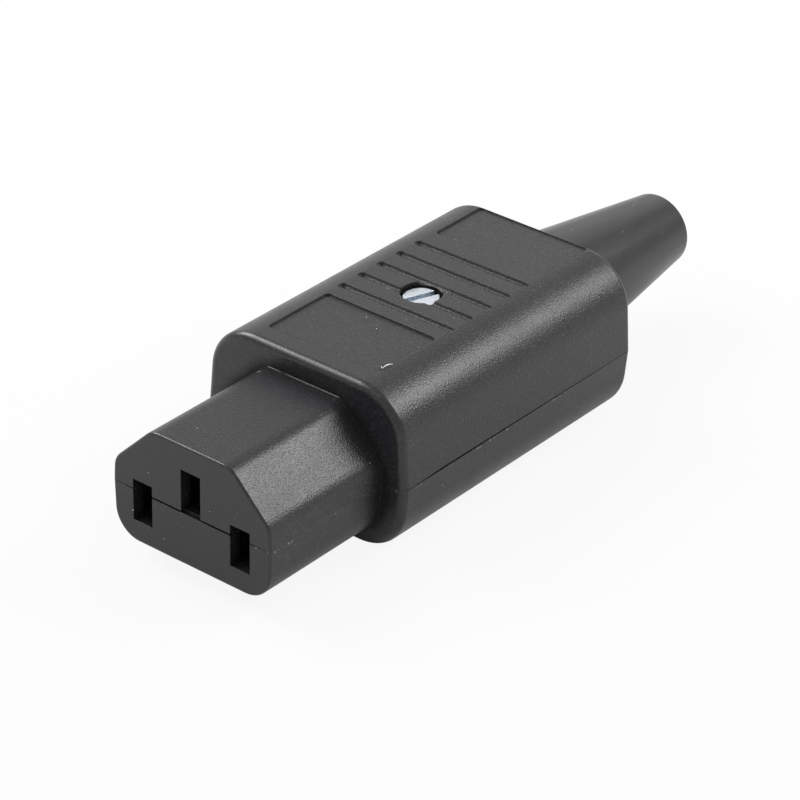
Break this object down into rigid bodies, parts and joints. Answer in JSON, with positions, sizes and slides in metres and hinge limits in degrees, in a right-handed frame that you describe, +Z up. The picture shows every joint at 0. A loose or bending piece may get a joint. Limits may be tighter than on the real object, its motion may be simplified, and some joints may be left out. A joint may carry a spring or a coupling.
{
  "type": "rewireable C13 power connector",
  "caption": "Rewireable C13 cord connector: black two-part shell with a chamfered mating nose, screw terminals inside, grip grooves and a tapering cord sleeve.",
  "frame": {"origin": "centre of the mating face, level with the line and neutral slots", "axes": "+X across the connector towards the neutral slot, +Y from the mating face towards the cord, +Z up through the face that holds the housing screw"},
  "size_m": [0.0288, 0.0859, 0.0202],
  "materials": {
    "housing": "fine spark-eroded grain",
    "sleeve": "satin",
    "clamp": "plain moulded",
    "zinc_steel": "zinc plated",
    "spring_steel": "bright rolled",
    "contact_brass": "pressed strip",
    "terminal_brass": "drawn"
  },
  "bodies": {
    "root": {"upper_shell": "housing", "lower_shell": "housing", "bend_sleeve": "sleeve", "housing_screw": "zinc_steel", "housing_nut": "zinc_steel", "line_contact": "contact_brass", "neutral_contact": "contact_brass", "earth_contact": "contact_brass", "line_contact_spring": "spring_steel", "neutral_contact_spring": "spring_steel", "earth_contact_spring": "spring_steel", "line_terminal": "terminal_brass", "neutral_terminal": "terminal_brass", "earth_terminal": "terminal_brass", "line_terminal_screw": "zinc_steel", "neutral_terminal_screw": "zinc_steel", "earth_terminal_screw": "zinc_steel", "cord_clamp": "clamp", "left_clamp_screw": "zinc_steel", "right_clamp_screw": "zinc_steel"}
  },
  "joints": []
}
